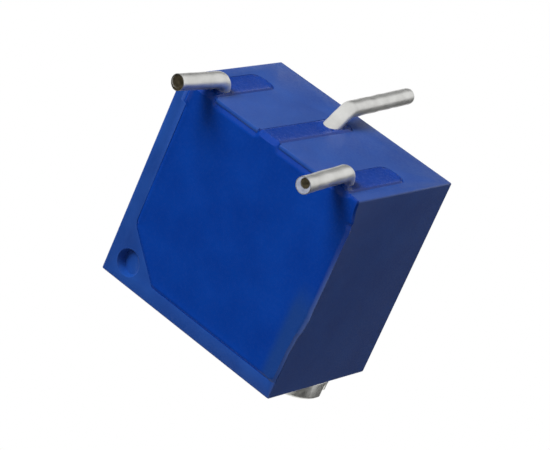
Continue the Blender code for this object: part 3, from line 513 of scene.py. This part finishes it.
def nearness(distance, reach):
    """One at a wall and past it, falling evenly to nought at the reach."""
    return min(max(1 - distance / reach, 0), 1)


def slot_wall_distance(place):
    """How far a place lies inside the nearest slot's walls, as seen on the lead face. Negative is outside."""
    inside = []
    for centre, width, length in SLOTS:
        beside = width / 2 - abs(place.x - centre)
        behind = BODY_FRONT + length - place.y
        inside.append(min(beside, behind))
    return max(inside)


def meniscus(distance, rise=MENISCUS_RISE, reach=MENISCUS_REACH):
    """How far the epoxy stands up at a distance from a wall."""
    return rise * math.exp(-max(distance, 0) / reach)


def wire_rise(place):
    """How far the epoxy has climbed at a place, for the wires around it."""
    highest = 0.0
    for corners in lead_lines:
        for start, end in zip(corners, corners[1:]):
            if end.z > SLOT_LEVEL:
                continue
            share = intersect_point_line(place, start, end)[1]
            distance = (place - start.lerp(end, min(max(share, 0), 1))).length - LEAD_RADIUS
            highest = max(highest, meniscus(distance, WIRE_RISE, WIRE_REACH))
    return highest


def front_rise(place):
    """How far the cured front stands up at a place, from the walls and the stubs around it."""
    diagonal = (RECESS_X[1] - place.x + RECESS_Z[1] - place.z - CUT_CORNER) / math.sqrt(2)
    walls = [RECESS_X[1] - place.x, RECESS_Z[1] - place.z, diagonal]
    if slot_wall_distance(place) < 0:
        walls.append(place.z - RECESS_Z[0])
    wave = WAVE_HEIGHT * noise.noise(Vector((place.x, 0, place.z)) / WAVE_LENGTH)
    return max(meniscus(min(walls)), meniscus(place.x - RECESS_X[0], SIDE_RISE, SIDE_REACH)) + wave


def spilled(place):
    """Which way and how far the skin has run from a place: over the screw's side rim, and over the lip."""
    overhang = OVERHANG * within(OVERHANG_HEIGHTS, place.z - LEAD_FACE)
    overhang += OVERHANG_WAVE * noise.noise(Vector((0, 0, place.z)) / OVERHANG_WAVE_LENGTH)
    sideways = nearness(place.x - RECESS_X[0], SPILL_START) * (RECESS_X[0] - BODY_SIDE + overhang)
    down = 0
    if slot_wall_distance(place) < 0:
        down = nearness(place.z - RECESS_Z[0], LIP_SPILL_START) * LIP_SPILL
    return Vector((-sideways, 0, -down))


def film_share(place):
    """How much of the paler housing shows through the epoxy at a place."""
    ragged = OVERHANG_WAVE * noise.noise(place / OVERHANG_WAVE_LENGTH)
    beside = 1 - smooth_step(*FILM_WIDTH, place.x - BODY_SIDE + ragged)
    return beside * smooth_step(*FILM_HEIGHTS, place.z - LEAD_FACE)


def painted_highlight_share(place):
    """How much painted highlight the spilled epoxy's edge on the screw's side gets at a place, before it is
    moved.
    """
    beside = 1 - smooth_step(0, PAINTED_HIGHLIGHT_WIDTH, place.x - RECESS_X[0])
    return beside * within(PAINTED_HIGHLIGHT_HEIGHTS, place.z - LEAD_FACE)


def add_wire_plug(pour, name):
    """Fills the hole that a wire leaves in the pour, from its buried end to just under the slots' skin."""
    plug = copied_solid(f"lead_{name}")
    plug.normal_update()
    for vert in plug.verts:
        vert.co += vert.normal * PLUG_GROWTH
    below = bmesh.ops.bisect_plane(
        plug,
        geom=plug.verts[:] + plug.edges[:] + plug.faces[:],
        plane_co=(0, 0, SLOT_LEVEL + SWELLING_MM * MILLIMETRE),
        plane_no=(0, 0, -1),
        clear_outer=True,
    )
    bmesh.ops.contextual_create(plug, geom=ring_edges(below["geom_cut"]))
    plug_data = bpy.data.meshes.new("plug")
    plug.to_mesh(plug_data)
    plug.free()
    pour.from_mesh(plug_data)
    bpy.data.meshes.remove(plug_data)


def one_skin(pour):
    """The pour, its plugs and its puddle under one smooth skin. The remesh works in millimetres."""
    bmesh.ops.scale(pour, verts=pour.verts, vec=(1 / MILLIMETRE,) * 3)
    data = bpy.data.meshes.new("pour")
    pour.to_mesh(data)
    pour.free()
    remeshed = bpy.data.objects.new("pour", data)
    bpy.context.scene.collection.objects.link(remeshed)
    voxels = remeshed.modifiers.new("voxels", "REMESH")
    voxels.mode = "VOXEL"
    voxels.voxel_size = VOXEL_MM
    swelling = remeshed.modifiers.new("swelling", "DISPLACE")
    swelling.strength = SWELLING_MM
    swelling.mid_level = 0.0
    smoothing = remeshed.modifiers.new("smoothing", "SMOOTH")
    smoothing.factor = SMOOTHING
    smoothing.iterations = SMOOTHING_PASSES
    bpy.context.view_layer.update()
    skin = bmesh.new()
    skin.from_object(remeshed, bpy.context.evaluated_depsgraph_get())
    bpy.data.objects.remove(remeshed)
    bmesh.ops.scale(skin, verts=skin.verts, vec=(MILLIMETRE,) * 3)
    return skin


epoxy = mottled_material(
    "potting_epoxy",
    EPOXY_DARK,
    EPOXY_PALE,
    gloss=(0.20, 0.32),
    sizes=(1.3 * MILLIMETRE, 0.12 * MILLIMETRE),
    relief=0.0015 * MILLIMETRE,
)
nodes, links = epoxy.node_tree.nodes, epoxy.node_tree.links
nodes["Principled BSDF"].inputs["Specular IOR Level"].default_value = EPOXY_SPECULAR
colour = nodes["Principled BSDF"].inputs["Base Color"].links[0].from_socket
# The thin film's blue and a painted highlight along the spilled edge are mixed into the colour through
# attributes.
for name, blue in (("film", FILM_BLUE), ("painted_highlight", PAINTED_EDGE_HIGHLIGHT_BLUE)):
    share = nodes.new("ShaderNodeAttribute")
    share.attribute_name = name
    thinned = nodes.new("ShaderNodeMix")
    thinned.data_type = "RGBA"
    thinned.inputs["B"].default_value = (*blue, 1.0)
    links.new(share.outputs["Fac"], thinned.inputs["Factor"])
    links.new(colour, thinned.inputs["A"])
    colour = thinned.outputs["Result"]
links.new(colour, nodes["Principled BSDF"].inputs["Base Color"])
poured = copied_solid("potting")
for name in LEAD_CORNERS:
    add_wire_plug(poured, name)
puddle = bmesh.ops.create_cube(poured, size=1.0)["verts"]
bmesh.ops.scale(poured, verts=puddle, vec=PUDDLE_SIZE)
bmesh.ops.translate(poured, verts=puddle, vec=PUDDLE_PLACE)
cured = one_skin(poured)
cured.verts.layers.float.new("film")
cured.verts.layers.float.new("painted_highlight")
film_layer = cured.verts.layers.float["film"]
painted_highlight_layer = cured.verts.layers.float["painted_highlight"]
cured.normal_update()
for vert in cured.verts:
    place = vert.co.copy()
    # The potted face
    if place.y < FRONT_LEVEL + SKIN_DEPTH:
        on_top = 1 - smooth_step(FRONT_LEVEL + EDGE_DEPTH, FRONT_LEVEL + SKIN_DEPTH, place.y)
        if vert.normal.y < -LEVEL_NORMAL:
            vert.co.y = BODY_FRONT
        else:
            vert.co.y += SETTLING * on_top
        vert.co += spilled(place) * on_top
        vert.co.y -= front_rise(place)
        vert[film_layer] = film_share(vert.co)
        # A painted highlight along the spilled edge on the screw's side
        vert[painted_highlight_layer] = painted_highlight_share(place) * on_top
    # The slots' skin at the lead face
    if place.z < SLOT_LEVEL + SKIN_DEPTH:
        if vert.normal.z < -LEVEL_NORMAL:
            vert.co.z = LEAD_FACE
        else:
            vert.co.z += SETTLING * (1 - smooth_step(SLOT_LEVEL, SLOT_LEVEL + SKIN_DEPTH, place.z))
        vert.co.z -= max(meniscus(slot_wall_distance(place)), wire_rise(place))
potting = shown_piece("potting_fill", cured, epoxy, "potting")

# Adjusting screw. Nickel-plated brass turned on a lathe, with a slot for a flat screwdriver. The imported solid
# is copied and smoothed, its head's edges are rounded, and it gets the plating's fine unevenness.
NICKEL_DARK = (0.60, 0.60, 0.56)
NICKEL_PALE = (0.82, 0.82, 0.79)
HEAD_EDGE = 0.03 * MILLIMETRE
nickel = mottled_material(
    "nickel_plating",
    NICKEL_DARK,
    NICKEL_PALE,
    gloss=(0.30, 0.42),
    sizes=(0.6 * MILLIMETRE, 0.05 * MILLIMETRE),
    relief=0.0008 * MILLIMETRE,
    metallic=1.0,
)
turned_screw = copied_solid("adjusting_screw")
head_edges = [
    edge
    for edge in turned_screw.edges
    if edge.is_manifold
    and edge.calc_face_angle() > SHARP_ANGLE
    and min(vert.co.z for vert in edge.verts) > SCREW_FACE
]
round_off(turned_screw, head_edges, HEAD_EDGE)
screw = shown_piece("turned_screw", turned_screw, nickel, "adjusting_screw", body="screw")

# Inner pieces. They are sealed in, and show only where a wall is cut away or a piece is looked at by itself.
# Each finish has a name, a dark and a pale colour, its least and most roughness, and how metallic it is.
INNER_FINISHES = {
    "o_ring": ("silicone", (0.36, 0.06, 0.04), (0.48, 0.09, 0.06), (0.5, 0.7), 0.0),
    "retaining_clip": ("spring_plate", (0.50, 0.50, 0.52), (0.66, 0.66, 0.68), (0.25, 0.4), 1.0),
    "worm_wheel": ("moulded_nylon", (0.72, 0.71, 0.66), (0.83, 0.82, 0.77), (0.35, 0.5), 0.0),
    "wiper": ("contact_metal", (0.70, 0.58, 0.34), (0.84, 0.72, 0.46), (0.18, 0.32), 1.0),
    "substrate": ("fired_alumina", (0.78, 0.78, 0.75), (0.88, 0.88, 0.85), (0.5, 0.65), 0.0),
    "resistive_track": ("fired_cermet", (0.030, 0.030, 0.034), (0.055, 0.055, 0.06), (0.3, 0.45), 0.0),
}
PRINT_DARK = (0.60, 0.60, 0.58)
PRINT_PALE = (0.76, 0.76, 0.74)
SOLDER_DARK = (0.56, 0.56, 0.57)
SOLDER_PALE = (0.74, 0.74, 0.75)


def finish_inner(node, finish):
    """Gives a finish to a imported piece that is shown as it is."""
    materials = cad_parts[node].data.materials
    materials.clear()
    materials.append(finish)


for node, (name, dark, pale, gloss, metallic) in INNER_FINISHES.items():
    finish = mottled_material(
        name,
        dark,
        pale,
        gloss=gloss,
        sizes=(0.4 * MILLIMETRE, 0.04 * MILLIMETRE),
        relief=0.004 * MILLIMETRE,
        metallic=metallic,
    )
    finish_inner(node, finish)
printed = mottled_material(
    "fired_conductor",
    PRINT_DARK,
    PRINT_PALE,
    gloss=(0.35, 0.5),
    sizes=(0.3 * MILLIMETRE, 0.03 * MILLIMETRE),
    relief=0.006 * MILLIMETRE,
    metallic=1.0,
)
soldered = mottled_material(
    "set_solder",
    SOLDER_DARK,
    SOLDER_PALE,
    gloss=(0.25, 0.45),
    sizes=(0.3 * MILLIMETRE, 0.05 * MILLIMETRE),
    relief=0.008 * MILLIMETRE,
    metallic=1.0,
)
for node in ("collector_track", "end_conductor_left", "end_conductor_right"):
    finish_inner(node, printed)
for side in LEAD_CORNERS:
    finish_inner(f"pad_{side}", printed)
    finish_inner(f"solder_{side}", soldered)

# Floor and light. The floor is white from above and isn't there from below, where the photograph is taken
# from. The world is white, and plain grey as light. Dark cards, which only gloss shows, keep the white
# background's haze off the faces that the photograph shows, as a photographer's flags do.
FLOOR_HALF_WIDTH = 0.15
FLOOR_WHITE = (0.9, 0.9, 0.9)
AMBIENT = 0.27
MIDDLE = Vector((0, 0, 0.0037))
# A lamp has its direction from the part, its distance, its size and its power.
LAMPS = {
    "key": ((0.40, -0.60, -0.69), 0.25, 0.12, 0.70),
    "upper": ((0.45, 0.55, 0.70), 0.25, 0.10, 0.40),
}
CARD_DISTANCE = 0.12
# A card has its direction from the part, half its width and its grey.
CARDS = {
    "potted_face_card": ((0.62, -0.68, 0.41), 0.080, 0.02),
    "lead_face_card": ((0.45, 0.80, -0.41), 0.036, 0.25),
    "side_card": ((-0.45, 0.80, 0.41), 0.060, 0.15),
    "head_card": ((-0.91, -0.10, 0.41), 0.058, 0.02),
}


def stage_sheet(name, half_width, material):
    """A flat square sheet that belongs to the studio, not to the object."""
    sheet = bmesh.new()
    bmesh.ops.create_grid(sheet, x_segments=1, y_segments=1, size=half_width)
    sheet_data = bpy.data.meshes.new(name)
    sheet.to_mesh(sheet_data)
    sheet.free()
    sheet_data.materials.append(material)
    made = bpy.data.objects.new(name, sheet_data)
    bpy.context.scene.collection.objects.link(made)
    return made


def face_the_part(thing, way, distance):
    """Puts a lamp or a card at a distance from the part, turned to it."""
    thing.location = MIDDLE + Vector(way).normalized() * distance
    thing.rotation_euler = Vector(way).to_track_quat("Z", "Y").to_euler()


paper = bpy.data.materials.new("white_paper")
paper.use_nodes = True
nodes, links = paper.node_tree.nodes, paper.node_tree.links
nodes.clear()
facing = nodes.new("ShaderNodeNewGeometry")
path = nodes.new("ShaderNodeLightPath")
from_above = nodes.new("ShaderNodeMath")
from_above.operation = "SUBTRACT"
from_above.use_clamp = True
links.new(path.outputs["Is Camera Ray"], from_above.inputs[0])
links.new(facing.outputs["Backfacing"], from_above.inputs[1])
clear = nodes.new("ShaderNodeBsdfTransparent")
white = nodes.new("ShaderNodeBsdfDiffuse")
white.inputs["Color"].default_value = (*FLOOR_WHITE, 1.0)
either = nodes.new("ShaderNodeMixShader")
links.new(from_above.outputs["Value"], either.inputs["Fac"])
links.new(clear.outputs["BSDF"], either.inputs[1])
links.new(white.outputs["BSDF"], either.inputs[2])
surface = nodes.new("ShaderNodeOutputMaterial")
links.new(either.outputs["Shader"], surface.inputs["Surface"])
stage_sheet("floor", FLOOR_HALF_WIDTH, paper)

for name, (way, half_width, grey) in CARDS.items():
    card_board = bpy.data.materials.new(name)
    card_board.use_nodes = True
    shader = card_board.node_tree.nodes["Principled BSDF"]
    shader.inputs["Base Color"].default_value = (grey, grey, grey, 1.0)
    shader.inputs["Roughness"].default_value = 1.0
    card = stage_sheet(name, half_width, card_board)
    face_the_part(card, way, CARD_DISTANCE)
    card.visible_camera = False
    card.visible_diffuse = False
    card.visible_shadow = False

world = bpy.data.worlds.new("studio")
bpy.context.scene.world = world
world.use_nodes = True
nodes, links = world.node_tree.nodes, world.node_tree.links
background = nodes["Background"]
path = nodes.new("ShaderNodeLightPath")
seen = nodes.new("ShaderNodeMath")
seen.operation = "ADD"
links.new(path.outputs["Is Camera Ray"], seen.inputs[0])
links.new(path.outputs["Is Glossy Ray"], seen.inputs[1])
shown = nodes.new("ShaderNodeMath")
shown.operation = "ADD"
shown.use_clamp = True
links.new(seen.outputs["Value"], shown.inputs[0])
links.new(path.outputs["Is Transmission Ray"], shown.inputs[1])
strength = nodes.new("ShaderNodeMix")
strength.inputs["A"].default_value = AMBIENT
strength.inputs["B"].default_value = 1.0
links.new(shown.outputs["Value"], strength.inputs["Factor"])
links.new(strength.outputs["Result"], background.inputs["Strength"])
background.inputs["Color"].default_value = (1.0, 1.0, 1.0, 1.0)

for name, (way, distance, size, power) in LAMPS.items():
    light = bpy.data.lights.new(name, "AREA")
    light.size = size
    light.energy = power
    lamp = bpy.data.objects.new(name, light)
    face_the_part(lamp, way, distance)
    lamp.visible_glossy = False
    bpy.context.scene.collection.objects.link(lamp)

bpy.context.scene.view_settings.view_transform = "Standard"
